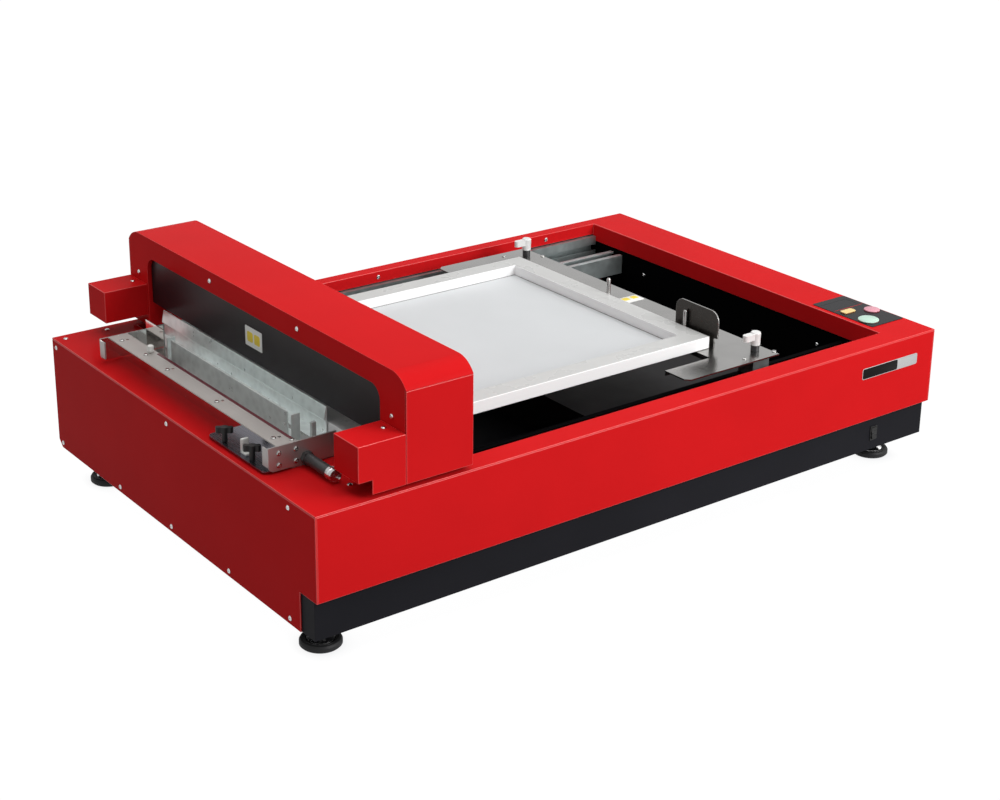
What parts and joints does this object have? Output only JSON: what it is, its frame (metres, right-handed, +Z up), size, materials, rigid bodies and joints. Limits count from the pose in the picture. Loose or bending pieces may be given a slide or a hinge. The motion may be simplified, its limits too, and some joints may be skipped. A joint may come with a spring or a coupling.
{
  "type": "tabletop screen printing press",
  "caption": "Flatbed press with a red sheet metal body, an arch that travels over a framed screen, a frame holder and a sliding clamp plate.",
  "frame": {"origin": "on the floor under the middle of the body", "axes": "+X along the bed to the control side, -Y to the front, +Z up"},
  "size_m": [1.0336, 0.686, 0.34],
  "materials": {
    "red_paint": "glossy",
    "black_sheet": "satin",
    "dark_cover": "satin",
    "galvanised": "satin",
    "stainless": "polished",
    "bright_steel": "polished",
    "foot_rubber": "matte",
    "black_plastic": "satin",
    "black_gloss": "glossy",
    "green_key": "glossy",
    "pink_key": "glossy",
    "yellow_key": "glossy",
    "white_plastic": "satin",
    "white_frame": "satin",
    "mesh_film": "satin",
    "belt_rubber": "matte",
    "motor_paint": "satin",
    "aluminium_grey": "satin",
    "board_green": "satin",
    "roller_rubber": "matte"
  },
  "bodies": {
    "machine": {"base_frame": "black_sheet", "front_panel": "red_paint", "back_panel": "red_paint", "left_end_panel": "red_paint", "right_end_panel": "red_paint", "top_cover": "red_paint", "well_lining": "black_sheet", "electronics_cover": "dark_cover", "guide_rails": "galvanised", "support_rails": "black_sheet", "rail_brackets": "galvanised", "foot_pads": "foot_rubber", "foot_studs": "bright_steel", "switch_bezel": "black_plastic", "power_inlet": "black_plastic", "control_overlay": "black_gloss", "cover_screws": "bright_steel", "drive_motor": "motor_paint", "drive_belt": "belt_rubber", "power_supply": "aluminium_grey", "control_board": "board_green", "holder_tray": "stainless", "clamp_strip": "stainless", "holder_walls": "galvanised", "holder_fittings": "stainless", "knob_spacer": "white_plastic", "plunger_body": "motor_paint"},
    "rocker": {"power_rocker": "black_plastic"},
    "start_key": {"start_button": "green_key"},
    "stop_key": {"stop_button": "pink_key"},
    "select_key": {"select_button": "yellow_key"},
    "drive_wheel": {"drive_pulley": "bright_steel"},
    "idler_wheel": {"idler_pulley": "bright_steel"},
    "front_thumb_knob": {"thumb_knob_front": "black_plastic"},
    "back_thumb_knob": {"thumb_knob_back": "black_plastic"},
    "strip_knob": {"white_knob": "white_plastic"},
    "plunger": {"plunger_pin": "bright_steel"},
    "gantry": {"arch_shell": "red_paint", "arch_front_cover": "red_paint", "arch_back_cover": "red_paint", "arch_black_panels": "black_sheet", "front_side_box": "red_paint", "back_side_box": "red_paint", "gantry_arms": "galvanised", "glide_blocks": "white_plastic", "upper_beam": "galvanised", "lower_beam": "galvanised", "thermal_head": "aluminium_grey", "arch_screws": "bright_steel", "lift_motor": "motor_paint"},
    "platen_unit": {"platen_yoke": "aluminium_grey"},
    "platen": {"platen_roller": "roller_rubber"},
    "lift_shaft": {"lift_pinions": "bright_steel"},
    "right_clamp": {"clamp_plate": "stainless", "clamp_carriers": "galvanised", "frame_stops": "stainless"},
    "front_lever": {"front_clamp_lever": "white_plastic"},
    "back_lever": {"back_clamp_lever": "white_plastic"},
    "screen_frame": {"screen_rails": "white_frame", "screen_mesh": "mesh_film"}
  },
  "joints": [
    {"name": "gantry_travel", "type": "slide", "parent": "machine", "child": "gantry", "axis": [1, 0, 0], "range_m": [0, 0.48]},
    {"name": "platen_lift", "type": "slide", "parent": "gantry", "child": "platen_unit", "axis": [0, 0, 1], "range_m": [-0.039, 0]},
    {"name": "platen_spin", "type": "hinge", "parent": "platen_unit", "child": "platen", "pos_m": [-0.33, 0, 0.255], "axis": [0, 1, 0], "continuous": true},
    {"name": "lift_shaft_turn", "type": "hinge", "parent": "gantry", "child": "lift_shaft", "pos_m": [-0.3285, 0, 0.281], "axis": [0, 1, 0], "range_deg": [-5, 290]},
    {"name": "drive_pulley_turn", "type": "hinge", "parent": "machine", "child": "drive_wheel", "pos_m": [0.47, 0.309, 0.125], "axis": [0, 1, 0], "range_deg": [-5, 2300]},
    {"name": "idler_pulley_turn", "type": "hinge", "parent": "machine", "child": "idler_wheel", "pos_m": [-0.48, 0.309, 0.125], "axis": [0, 1, 0], "range_deg": [-5, 2300]},
    {"name": "clamp_plate_travel", "type": "slide", "parent": "machine", "child": "right_clamp", "axis": [1, 0, 0], "range_m": [0, 0.14]},
    {"name": "front_lever_turn", "type": "hinge", "parent": "right_clamp", "child": "front_lever", "pos_m": [0.2455, -0.2555, 0.217], "axis": [0, 0, 1], "range_deg": [0, 90]},
    {"name": "back_lever_turn", "type": "hinge", "parent": "right_clamp", "child": "back_lever", "pos_m": [0.2455, 0.2555, 0.217], "axis": [0, 0, 1], "range_deg": [-90, 0]},
    {"name": "screen_lift", "type": "slide", "parent": "machine", "child": "screen_frame", "axis": [0, 0, 1], "range_m": [0, 0.022]},
    {"name": "start_press", "type": "slide", "parent": "machine", "child": "start_key", "axis": [0, 0, 1], "range_m": [-0.001, 0], "stiffness_N_per_m": 900},
    {"name": "stop_press", "type": "slide", "parent": "machine", "child": "stop_key", "axis": [0, 0, 1], "range_m": [-0.001, 0], "stiffness_N_per_m": 900},
    {"name": "select_press", "type": "slide", "parent": "machine", "child": "select_key", "axis": [0, 0, 1], "range_m": [-0.001, 0], "stiffness_N_per_m": 900},
    {"name": "rocker_tilt", "type": "hinge", "parent": "machine", "child": "rocker", "pos_m": [0.412, -0.334, 0.0655], "axis": [1, 0, 0], "range_deg": [0, 14]},
    {"name": "front_thumb_knob_turn", "type": "hinge", "parent": "machine", "child": "front_thumb_knob", "pos_m": [-0.4986, -0.178, 0.217], "axis": [0, 0, 1], "range_deg": [-180, 180]},
    {"name": "back_thumb_knob_turn", "type": "hinge", "parent": "machine", "child": "back_thumb_knob", "pos_m": [-0.4986, -0.112, 0.217], "axis": [0, 0, 1], "range_deg": [-180, 180]},
    {"name": "strip_knob_turn", "type": "hinge", "parent": "machine", "child": "strip_knob", "pos_m": [-0.469, 0.135, 0.242], "axis": [0, 0, 1], "range_deg": [-180, 180]},
    {"name": "plunger_pull", "type": "slide", "parent": "machine", "child": "plunger", "axis": [0, -1, 0], "range_m": [0, 0.008], "stiffness_N_per_m": 500}
  ],
  "couplings": [
    {"joint": "lift_shaft_turn", "follows": "platen_lift", "rad_per_m": -125},
    {"joint": "drive_pulley_turn", "follows": "gantry_travel", "rad_per_m": 83.333},
    {"joint": "idler_pulley_turn", "follows": "gantry_travel", "rad_per_m": 83.333}
  ]
}
